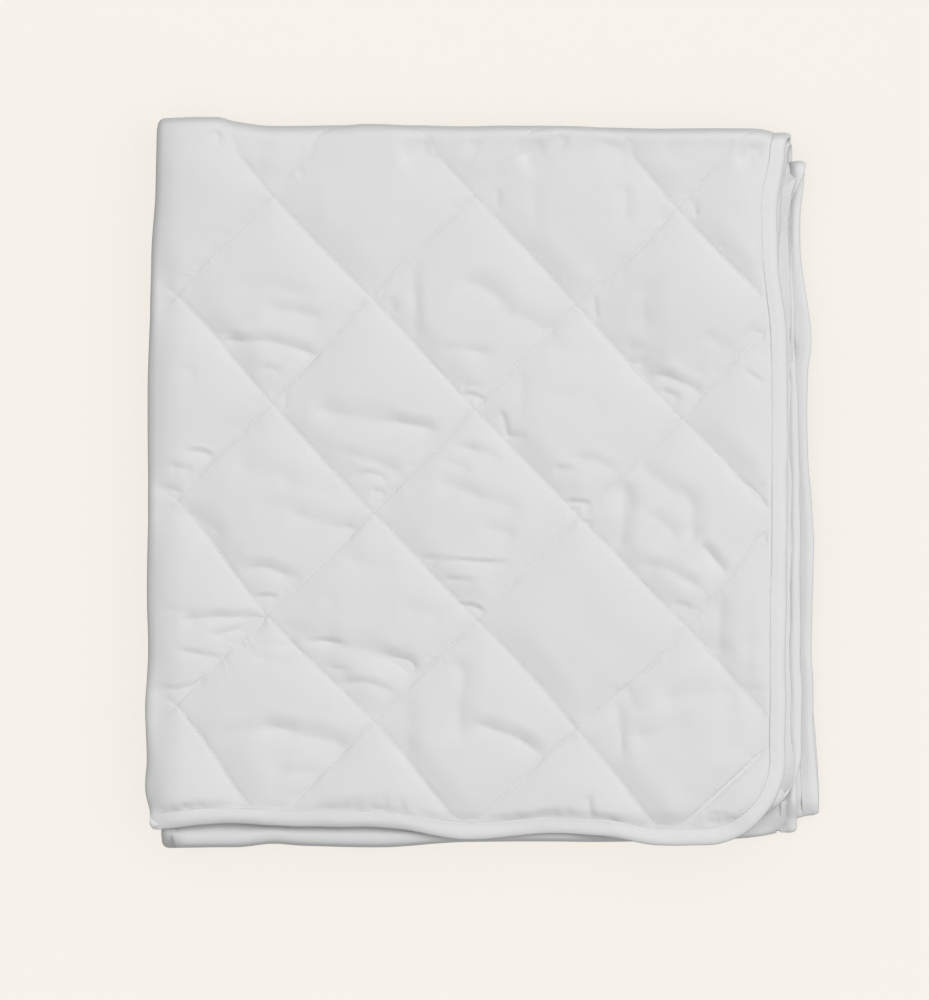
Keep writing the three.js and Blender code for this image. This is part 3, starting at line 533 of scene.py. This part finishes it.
def settled(p):
    """The pile's own unevenness, which grows from nothing at the ground.

    The open edges on the right also lie unevenly over each other.
    """
    x, y, z = p[..., 0] + NOTED_X, p[..., 1], p[..., 2]
    lift = np.zeros_like(x)
    for cx, cy, radius, height in UNEVEN:
        lift = lift + height * np.exp(-(((x - cx) ** 2 + (y - cy) ** 2) / radius**2))
    p = p.copy()
    lift = lift + through(RISE_AT, RISE, x) * np.clip((y - through(TOP_AT, TOP_LINE, x)) / 18 + 1, 0, 1) ** 2
    p[..., 2] = z + lift * (np.clip(z, 0, 50) / 47) ** 1.5
    loose = ease((x - 188) / 22) * ease(z / 8)
    p[..., 0] = p[..., 0] + 0.7 * loose * cloud(y, 4.2 * z, 30, 41)
    p[..., 2] += 1.3 * loose * cloud(y, 4.2 * z, 34, 43) * (1 - ease((z - 34) / 12))
    for cx, cy, across, along, depth in HOLLOWS:
        here = np.exp(-(((x - cx) / across) ** 2) - ((y - cy) / along) ** 2)
        p[..., 2] -= depth * here * ease(z / 25) * (1 - ease((z - 30) / 10))
    p[..., 2] -= 5 * (0.8 + 0.5 * waves(y / 23, 0, 47)) * np.exp(-(((x - 211) / 3) ** 2)) * ease(z / 25) * (1 - ease((z - 30) / 10))
    # at the lower right the ends of the lower layers hang down
    hang = 0.5 * ease((-y - 220) / 18) * ease((x - 178) / 14) * (1 - ease((z - 28) / 9))
    p[..., 2] -= hang * z
    # along the bottom the lower fold lies up against the layers above it
    near = 1 - ease((x - 170) / 25)
    up = 15 * ease((-y - 223) / 13) * (1 - ease((x - 60) / 32))
    p[..., 2] -= 3.2 * ease((-y - 226) / 15) * ease((z - 33) / 6) * near
    p[..., 2] += up * ease(z / 24) * (1 - ease((z - 23) / 23))
    return p


def on_cloth(ul, vl, n, round_=True):
    u, v = strayed(ul, vl)
    if round_:
        u, v = round_corner(u, v)
    return settled(place(u, v, n))


# ---------------------------------------------------------------- the panel's mesh
UNIT = 8  # fine steps in a span of the grid


def fine_lines(marks):
    out = [marks[0]]
    for a, b in zip(marks[:-1], marks[1:]):
        out.extend(np.linspace(a, b, UNIT + 1)[1:])
    return np.array(out)


span_u, span_v = ACROSS_STEP / 9, ALONG_STEP / 9
first_a, first_b = FIRST_COLUMN - span_u / 2, FIRST_COLUMN - 23 * span_u / 8
u_marks = (
    [HALF] + [first_a + k * span_u for k in range(54, -1, -1)] + [TURN, -TURN]
    + [first_b - k * span_u for k in range(55)] + [-HALF]
)
first_v = FIRST_ROW - 10 * span_v
v_marks = (
    [0.0] + list(np.linspace(12.8, 491, 31)) + list(np.linspace(509, 991, 31))
    + list(np.linspace(1009, first_v, 30)) + [first_v + k * span_v for k in range(1, 64)] + [LENGTH]
)
u_lines, v_lines = fine_lines(u_marks), fine_lines(v_marks)


top_i, top_j = u_marks.index(TURN), v_marks.index(first_v)


def bend_by_span():
    """How far the fine surface on top strays from coarser ones, in each span: 2 and 4 steps wide."""
    gu, gv = np.meshgrid(u_lines[:top_i * UNIT + 1], v_lines[top_j * UNIT:], indexing="ij")
    u, v = round_corner(*strayed(gu, gv))
    flat = place(u, v, 2.0)
    n = thickness_outside(gu, gv, u, v, flat[..., 0], flat[..., 1])
    found = []
    for step in (2, 4):
        half = step // 2
        miss = np.zeros_like(n)
        miss[half::step, ::step] = np.abs(n[half::step, ::step] - (n[:-half:step, ::step] + n[step::step, ::step]) / 2)
        miss[::step, half::step] = np.abs(n[::step, half::step] - (n[::step, :-half:step] + n[::step, step::step]) / 2)
        rows = miss[:-1, :-1].reshape(top_i, UNIT, -1, UNIT)
        found.append(rows.max(axis=(1, 3)))
    return found


bend_2, bend_4 = bend_by_span()
SHARP = np.sort(bend_2.ravel())[-int(0.13 * bend_2.size)]  # the spans that bend most


def steps_at(i, j):
    """How coarse the outside of the cloth is in span i across and span j along."""
    u = (u_marks[i] + u_marks[i + 1]) / 2
    v = (v_marks[j] + v_marks[j + 1]) / 2
    top = v > first_v
    if abs(u) < TURN:
        return 1, (2 if top else 4)
    if abs(u) < 11:
        return 4, (2 if top else 4)
    if u > 368 and v > 1925:
        return 1, 1
    if u > HALF - BINDING_WIDTH:
        return 4, (4 if top else 8)
    if top and u > 0:
        step = 1 if bend_2[i, j - top_j] > SHARP else 2 if bend_4[i, j - top_j] > 0.08 else 4
        return step, min(step, 2) if v < 1530 else step
    if abs(v - 500) < 9 or abs(v - 1000) < 9:
        return 8, 1
    if abs(v - 1500) < 28:
        return 8, 2
    return 8, 8


cells = []
used = np.zeros((len(u_lines), len(v_lines)), bool)
for i in range(len(u_marks) - 1):
    for j in range(len(v_marks) - 1):
        su, sv = steps_at(i, j)
        for i0 in range(i * UNIT, (i + 1) * UNIT, su):
            for j0 in range(j * UNIT, (j + 1) * UNIT, sv):
                cells.append((i0, j0, i0 + su, j0 + sv))
                used[i0, j0] = used[i0 + su, j0] = used[i0, j0 + sv] = used[i0 + su, j0 + sv] = True

index = np.full(used.shape, -1)
ui, vj = np.nonzero(used)
index[ui, vj] = np.arange(len(ui))
ul, vl = u_lines[ui], v_lines[vj]
outside_cloth = np.column_stack([ul, vl])
u, v = round_corner(*strayed(ul, vl))
flat = place(u, v, 2.0)
n = thickness_outside(ul, vl, u, v, flat[:, 0], flat[:, 1])
points = settled(place(u, v, n))
c, r = lattice(ul, vl)
on_seam = np.minimum(from_line(c + r), from_line(c - r)) < 0.004

faces = []
for i0, j0, i1, j1 in cells:
    if i1 - i0 == 1:
        low, high = [index[i0, j0]], [index[i0, j1]]
    else:
        low = [k for k in index[i0:i1, j0] if k >= 0]
        high = [k for k in index[i0 + 1:i1 + 1, j1] if k >= 0][::-1]
    right = [k for k in index[i1, j0:j1] if k >= 0]
    left = [k for k in index[i0, j0 + 1:j1 + 1] if k >= 0][::-1]
    if i1 - i0 == 1:
        high = [index[i1, j1]]
    ring = low + right + high + left
    if len(ring) == 4 and on_seam[ring[1]] and on_seam[ring[3]] and not (on_seam[ring[0]] and on_seam[ring[2]]):
        faces.append((ring[0], ring[1], ring[3]))
        faces.append((ring[1], ring[2], ring[3]))
    elif len(ring) == 4 and on_seam[ring[0]] and on_seam[ring[2]]:
        faces.append((ring[0], ring[1], ring[2]))
        faces.append((ring[0], ring[2], ring[3]))
    else:
        faces.append(tuple(ring))

# the inside, which nobody sees, is coarser
half_i = lambda k: k * UNIT
across_i = (
    [0] + [half_i(k) for k in range(1, 56, 2)] + [half_i(56)]
    + [half_i(56) + k for k in (2, 4, 6)] + [half_i(57)] + [half_i(k) for k in range(58, 113, 2)] + [half_i(113)]
)
along_j = []
for j in range(len(v_marks) - 1):
    middle = (v_marks[j] + v_marks[j + 1]) / 2
    step = 2 if abs(middle - 500) < 9 or abs(middle - 1000) < 9 else 4 if abs(middle - 1500) < 30 else 8
    along_j.extend(range(j * UNIT, (j + 1) * UNIT, step))
along_j.append(len(v_lines) - 1)
across_i = sorted(set(across_i))
gi, gj = np.meshgrid(across_i, along_j, indexing="ij")
inner_ul, inner_vl = u_lines[gi.ravel()], v_lines[gj.ravel()]
iu, iv = round_corner(*strayed(inner_ul, inner_vl))
inner_points = settled(place(iu, iv, -thickness_inside(inner_ul, inner_vl, iu, iv)))
inner_index = len(points) + np.arange(len(inner_ul)).reshape(gi.shape)
for a in range(len(across_i) - 1):
    for b in range(len(along_j) - 1):
        faces.append((
            inner_index[a, b], inner_index[a, b + 1], inner_index[a + 1, b + 1], inner_index[a + 1, b],
        ))
# the cut edges, inside the binding
for b in range(len(along_j) - 1):
    j0, j1 = along_j[b], along_j[b + 1]
    outer = [k for k in index[0, j0:j1 + 1] if k >= 0]
    faces.append(tuple([inner_index[0, b]] + outer + [inner_index[0, b + 1]]))
    outer = [k for k in index[-1, j0:j1 + 1] if k >= 0]
    faces.append(tuple([inner_index[-1, b + 1]] + outer[::-1] + [inner_index[-1, b]]))
for a in range(len(across_i) - 1):
    i0, i1 = across_i[a], across_i[a + 1]
    outer = [k for k in index[i0:i1 + 1, 0] if k >= 0]
    faces.append(tuple([inner_index[a + 1, 0]] + outer[::-1] + [inner_index[a, 0]]))
    outer = [k for k in index[i0:i1 + 1, -1] if k >= 0]
    faces.append(tuple([inner_index[a, -1]] + outer + [inner_index[a + 1, -1]]))


def mesh_object(name, vertices, polygons, cloth=None):
    """A smooth-shaded object; cloth is each vertex's place on the spread cloth, kept as a UV map."""
    mesh = bpy.data.meshes.new(name)
    sizes = np.array([len(f) for f in polygons], np.int32)
    corners = np.fromiter((k for f in polygons for k in f), np.int32, int(sizes.sum()))
    mesh.vertices.add(len(vertices))
    mesh.vertices.foreach_set("co", (np.asarray(vertices) * MM).ravel())
    mesh.loops.add(len(corners))
    mesh.loops.foreach_set("vertex_index", corners)
    mesh.polygons.add(len(sizes))
    mesh.polygons.foreach_set("loop_start", np.concatenate([[0], np.cumsum(sizes)[:-1]]).astype(np.int32))
    mesh.polygons.foreach_set("loop_total", sizes)
    mesh.update(calc_edges=True)
    mesh.validate(verbose=False)
    mesh.shade_smooth()
    if cloth is not None:
        layer = mesh.uv_layers.new(name="cloth")
        layer.data.foreach_set("uv", (np.asarray(cloth)[corners] * MM).ravel())
    obj = bpy.data.objects.new(name, mesh)
    bpy.context.scene.collection.objects.link(obj)
    return obj


panel = mesh_object(
    "quilted_cloth",
    np.concatenate([points, inner_points]),
    faces,
    np.concatenate([outside_cloth, np.column_stack([inner_ul + 3, inner_vl])]),
)


# ---------------------------------------------------------------- the binding
def stretch(start, end, step, extra=()):
    """Places from start to end about a step apart; extra is (middle, reach, step) round each fold."""
    out, sign = [start], 1 if end > start else -1
    while (end - out[-1]) * sign > 1e-6:
        here = out[-1]
        size = step(here) if callable(step) else step
        for middle, reach, fine in extra:
            if abs(here + sign * size / 2 - middle) < reach + size:
                size = min(size, fine)
        out.append(here + sign * size)
    out[-1] = end
    return out


v_folds = [(500, 9, 1.5), (1000, 9, 1.5), (1500, 28, 2.2)]
outline = (
    [(HALF, q) for q in stretch(0, LENGTH, lambda q: 2.0 if q > 1440 else 4.0, v_folds)]
    + [(q, LENGTH) for q in stretch(HALF, -HALF, lambda q: 2.0 if q > -10 else 4.0, [(0, 6, 0.8)])[1:]]
    + [(-HALF, q) for q in stretch(LENGTH, 0, 4.0, v_folds)[1:]]
    + [(q, 0.0) for q in stretch(-HALF, HALF, 5.0, [(0, 6, 0.8)])[1:-1]]
)
outline = np.array(outline, float)
edge_u, edge_v = round_corner(outline[:, 0], outline[:, 1])
along_u = np.maximum(0, np.abs(edge_u) - HALF + CORNER) / CORNER
along_v = np.maximum(0, CORNER - np.minimum(edge_v, LENGTH - edge_v)) / CORNER
away = np.hypot(along_u, along_v)
in_u = -np.sign(edge_u) * along_u / away
in_v = np.where(edge_v < LENGTH / 2, 1, -1) * along_v / away
gone = np.concatenate([[0], np.cumsum(np.hypot(np.diff(edge_u), np.diff(edge_v)))])  # along the outline

SECTION = [  # distance in from the edge, height over the cloth's middle
    (10.1, 0.35), (9.8, 0.98), (9.1, 1.12), (8.5, 1.22), (7.2, 1.52), (5.5, 1.95), (3.8, 2.25),
    (2.2, 2.30), (0.6, 1.80), (-0.8, 0.95), (-1.4, 0.0), (-0.8, -0.95), (0.6, -1.80), (2.2, -2.30),
    (3.8, -2.25), (5.5, -1.95), (7.2, -1.52), (8.5, -1.22), (9.1, -1.12), (9.8, -0.98),
    (10.1, -0.35), (9.3, -0.45), (4.5, -0.9), (-0.1, -0.85), (-0.1, 0.85), (4.5, 0.9), (9.3, 0.45),
]


def binding_point(edge_u, edge_v, in_u, in_v, gone, inward, n, face):
    """A point of the tape, with the gathers that its seam pulls into it."""
    on_face = np.clip(1 - np.abs(inward - 5.4) / 5.4, 0, 1)
    gather = waves(gone / 5.2, face, 31) + 0.7 * waves(gone / 11.0, face, 32)
    n = n + face * 0.2 * gather * on_face
    n = n * (1 + 0.10 * waves(gone / 23.0, 0, 33))
    inward = inward + 0.45 * waves(gone / 29.0, face, 34) * np.clip(inward / 10, 0, 1)
    inward = inward + 0.35 * waves(gone / 17.0, 0, 35) * np.clip(1 - inward / 6, 0, 1)
    return settled(place(edge_u + in_u * inward, edge_v + in_v * inward, n))


ring_points = []
for inward, n in SECTION:
    ring_points.append(binding_point(edge_u, edge_v, in_u, in_v, gone, inward, n, np.sign(n)))
ring_points = np.stack(ring_points, axis=1)
count, across_tape = ring_points.shape[:2]
tape_faces = []
for j in range(count):
    a, b = j * across_tape, ((j + 1) % count) * across_tape
    for i in range(across_tape):
        k = (i + 1) % across_tape
        tape_faces.append((a + i, b + i, b + k, a + k))
tape_cloth = np.stack(
    [np.repeat([s[0] for s in SECTION], count).reshape(across_tape, count).T, np.tile(gone[:, None], (1, across_tape))],
    axis=-1,
).reshape(-1, 2)
tape = mesh_object("edge_binding", ring_points.reshape(-1, 3), tape_faces, tape_cloth)


# ---------------------------------------------------------------- stitches
def threads(name, starts, ends, up, radius, sides=6):
    """Short rounded stitches between points on the cloth, joined in one mesh."""
    starts, ends = np.asarray(starts), np.asarray(ends)
    axis = ends - starts
    size = np.linalg.norm(axis, axis=1, keepdims=True)
    axis = axis / size
    side = np.cross(axis, up)
    side /= np.linalg.norm(side, axis=1, keepdims=True)
    lift = np.cross(side, axis)
    rings = [(0.0, 0.35, -0.5), (0.16, 0.9, -0.1), (0.5, 1.0, 0.25), (0.84, 0.9, -0.1), (1.0, 0.35, -0.5)]
    vertices, polygons = [], []
    for t, share, rise in rings:
        for k in range(sides):
            angle = 2 * math.pi * k / sides
            vertices.append(
                starts + axis * size * t
                + radius * share * (math.cos(angle) * side + math.sin(angle) * lift) + radius * rise * lift
            )
    total = len(rings) * sides
    vertices = np.stack(vertices, axis=1)
    local = []
    for a in range(len(rings) - 1):
        for k in range(sides):
            m = (k + 1) % sides
            local.append((a * sides + k, a * sides + m, (a + 1) * sides + m, (a + 1) * sides + k))
    local.append(tuple(range(sides))[::-1])
    local.append(tuple(range(total - sides, total)))
    for s in range(len(starts)):
        polygons.extend(tuple(s * total + k for k in f) for f in local)
    return mesh_object(name, vertices.reshape(-1, 3), polygons)


def top_surface(ul, vl):
    u, v = round_corner(*strayed(ul, vl))
    flat = place(u, v, 2.0)
    n = thickness_outside(ul, vl, u, v, flat[..., 0], flat[..., 1])
    return settled(place(u, v, n)), u, v


starts, ends = [], []
pitch = 3.6 / SEAM_WIDTH  # stitch and gap, in lattice units along a seam
for family in (0, 1):
    for number in range(-15, 24, 2):
        t = np.arange(-14, 24, pitch)
        t = t + 0.12 * pitch * rng.standard_normal(len(t))
        for first, last, out in ((0.0, 0.72, starts), (0.0, 0.72, ends)):
            shift = first if out is starts else last * pitch
            if family == 0:
                a, b = number, t + shift
            else:
                a, b = t + shift, number
            c, r = (a + b) / 2, (a - b) / 2
            p, u, v = top_surface(FIRST_COLUMN + ACROSS_STEP * c, FIRST_ROW + ALONG_STEP * r)
            out.append((p, u, v, from_edge(u, v)))
pick = []
for s, e in zip(starts, ends):
    inside = (s[3] > 10.6) & (e[3] > 10.6) & (s[1] > 2) & (e[1] > 2) & (s[1] < HALF) & (e[1] < HALF)
    inside &= (s[2] > 1478) & (e[2] > 1478) & (s[2] < LENGTH) & (e[2] < LENGTH)
    pick.append((s[0][inside], e[0][inside]))
seam_starts = np.concatenate([p[0] for p in pick]) + [0, 0, 0.03]
seam_ends = np.concatenate([p[1] for p in pick]) + [0, 0, 0.03]
quilting = threads("quilting_stitches", seam_starts, seam_ends, np.array([0.0, 0.0, 1.0]), 0.22)

edge_seam = []
for face in (1, -1):
    at = np.arange(2, gone[-1] - 4, 3.4)
    ends_at = []
    for shift in (0, 2.5):
        k = at + shift
        eu, ev = np.interp(k, gone, edge_u), np.interp(k, gone, edge_v)
        iu_, iv_ = np.interp(k, gone, in_u), np.interp(k, gone, in_v)
        ends_at.append(binding_point(eu, ev, iu_, iv_, k, np.full_like(k, 9.0), np.full_like(k, 1.14 * face), face))
    edge_seam.append((ends_at[0], ends_at[1], eu, ev))
all_starts = np.concatenate([e[0] for e in edge_seam])
all_ends = np.concatenate([e[1] for e in edge_seam])
whole = np.linalg.norm(all_ends - all_starts, axis=1) < 6
edge_stitches = threads(
    "binding_stitches", all_starts[whole], all_ends[whole], np.array([0.03, 0.02, 1.0]), 0.14, sides=5
)


# ---------------------------------------------------------------- materials
def new_material(name, color, roughness):
    made = bpy.data.materials.new(name)
    made.use_nodes = True
    shader = made.node_tree.nodes["Principled BSDF"]
    shader.inputs["Base Color"].default_value = (*color, 1)
    shader.inputs["Roughness"].default_value = roughness
    return made, made.node_tree, shader


def cotton(name, color, roughness, thread_mm, depth, mottle):
    """Plain-woven cotton: threads both ways in the cloth's own directions, and a slight mottle."""
    made, tree, shader = new_material(name, color, roughness)
    new, link = tree.nodes.new, tree.links.new
    shader.inputs["Sheen Weight"].default_value = 0.12
    shader.inputs["Sheen Roughness"].default_value = 0.5
    shader.inputs["Specular IOR Level"].default_value = 0.25
    where = new("ShaderNodeUVMap")
    where.uv_map = "cloth"
    heights = []
    for direction in ("X", "Y"):
        wave = new("ShaderNodeTexWave")
        wave.wave_type = "BANDS"
        wave.bands_direction = direction
        wave.inputs["Scale"].default_value = 0.1 / (thread_mm * MM)
        wave.inputs["Distortion"].default_value = 0.6
        wave.inputs["Detail"].default_value = 1.0
        wave.inputs["Detail Scale"].default_value = 0.3
        link(where.outputs["UV"], wave.inputs["Vector"])
        heights.append(wave.outputs["Fac"])
    weave = new("ShaderNodeMath")
    weave.operation = "MULTIPLY"
    link(heights[0], weave.inputs[0])
    link(heights[1], weave.inputs[1])
    fuzz = new("ShaderNodeTexNoise")
    fuzz.inputs["Scale"].default_value = 520
    fuzz.inputs["Detail"].default_value = 3
    link(where.outputs["UV"], fuzz.inputs["Vector"])
    both = new("ShaderNodeMath")
    both.operation = "MULTIPLY_ADD"
    both.inputs[1].default_value = 1.5
    link(fuzz.outputs["Fac"], both.inputs[0])
    link(weave.outputs["Value"], both.inputs[2])
    bump = new("ShaderNodeBump")
    bump.inputs["Strength"].default_value = 0.22
    bump.inputs["Distance"].default_value = depth * MM
    link(both.outputs["Value"], bump.inputs["Height"])
    link(bump.outputs["Normal"], shader.inputs["Normal"])
    patches = new("ShaderNodeTexNoise")
    patches.inputs["Scale"].default_value = 22
    patches.inputs["Detail"].default_value = 4
    link(where.outputs["UV"], patches.inputs["Vector"])
    shades = new("ShaderNodeMix")
    shades.data_type = "RGBA"
    shades.inputs[6].default_value = (*[k * (1 - mottle) for k in color], 1)
    shades.inputs[7].default_value = (*[min(1, k * (1 + mottle)) for k in color], 1)
    link(patches.outputs["Fac"], shades.inputs[0])
    link(shades.outputs[2], shader.inputs["Base Color"])
    return made


white_cotton = cotton("white_cotton", (0.745, 0.745, 0.75), 0.85, 0.45, 0.10, 0.015)
white_tape = cotton("white_tape", (0.765, 0.765, 0.77), 0.8, 0.6, 0.14, 0.02)
thread, _, _ = new_material("white_thread", (0.78, 0.78, 0.785), 0.6)
panel.data.materials.append(white_cotton)
tape.data.materials.append(white_tape)
quilting.data.materials.append(thread)
edge_stitches.data.materials.append(thread)

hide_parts("quilted_panel")
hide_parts("binding")
for piece in (panel, tape, quilting, edge_stitches):
    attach(piece, "root")

# ---------------------------------------------------------------- floor, light and camera
bpy.ops.mesh.primitive_plane_add(size=30, location=(0, 0, 0))
floor = bpy.context.object
floor.name = "floor"
paper, _, paper_shader = new_material("cream_paper", (0.465, 0.4465, 0.4125), 0.9)
paper_shader.inputs["Specular IOR Level"].default_value = 0.0
paper_shader.inputs["Emission Color"].default_value = (0.93, 0.893, 0.825, 1)
paper_shader.inputs["Emission Strength"].default_value = 0.75
floor.data.materials.append(paper)
floor.visible_diffuse = False  # no bounce on to the cloth from the floor

scene = bpy.context.scene
scene.view_settings.view_transform = "Standard"
scene.view_settings.look = "None"
world = bpy.data.worlds.new("studio") if not bpy.data.worlds else bpy.data.worlds[0]
scene.world = world
world.use_nodes = True
# a wide soft dome, brightest overhead
sky = world.node_tree
upward = sky.nodes.new("ShaderNodeTexCoord")
split = sky.nodes.new("ShaderNodeSeparateXYZ")
dome = sky.nodes.new("ShaderNodeMapRange")
dome.inputs["From Min"].default_value, dome.inputs["From Max"].default_value = 0, 1
dome.inputs["To Min"].default_value, dome.inputs["To Max"].default_value = 0.3, 0.6
sky.links.new(upward.outputs["Generated"], split.inputs[0])
sky.links.new(split.outputs["Z"], dome.inputs["Value"])
sky.links.new(dome.outputs["Result"], sky.nodes["Background"].inputs["Strength"])
sky.nodes["Background"].inputs["Color"].default_value = (1, 1, 1, 1)


def soft_light(name, azimuth, elevation, distance, size, watts):
    data = bpy.data.lights.new(name, "AREA")
    data.shape = "DISK"
    data.size = size
    data.energy = watts
    light = bpy.data.objects.new(name, data)
    a, e = math.radians(azimuth), math.radians(elevation)
    away = np.array([math.cos(a) * math.cos(e), math.sin(a) * math.cos(e), math.sin(e)])
    light.location = away * distance
    light.rotation_mode = "QUATERNION"
    light.rotation_quaternion = Vector(away).to_track_quat("Z", "Y")
    scene.collection.objects.link(light)
    return light


key = soft_light("key", 41, 60, 10, 6.8, 571)
lit = bpy.data.collections.new("lit_by_key")
for piece in (panel, tape, quilting, edge_stitches):
    lit.objects.link(piece)
key.light_linking.receiver_collection = lit

camera_data = bpy.data.cameras.new("camera")
camera = bpy.data.objects.new("camera", camera_data)
DISTANCE = 8.0
camera_data.sensor_width = 36
camera_data.lens = DISTANCE * 36 / 0.6944  # 1.44 px to the millimetre
camera_data.clip_start, camera_data.clip_end = 0.1, 100
camera.location = (-13.25 * MM, -11.42 * MM, DISTANCE + 0.047)
camera.rotation_euler = (0, 0, 0)
scene.collection.objects.link(camera)
scene.camera = camera
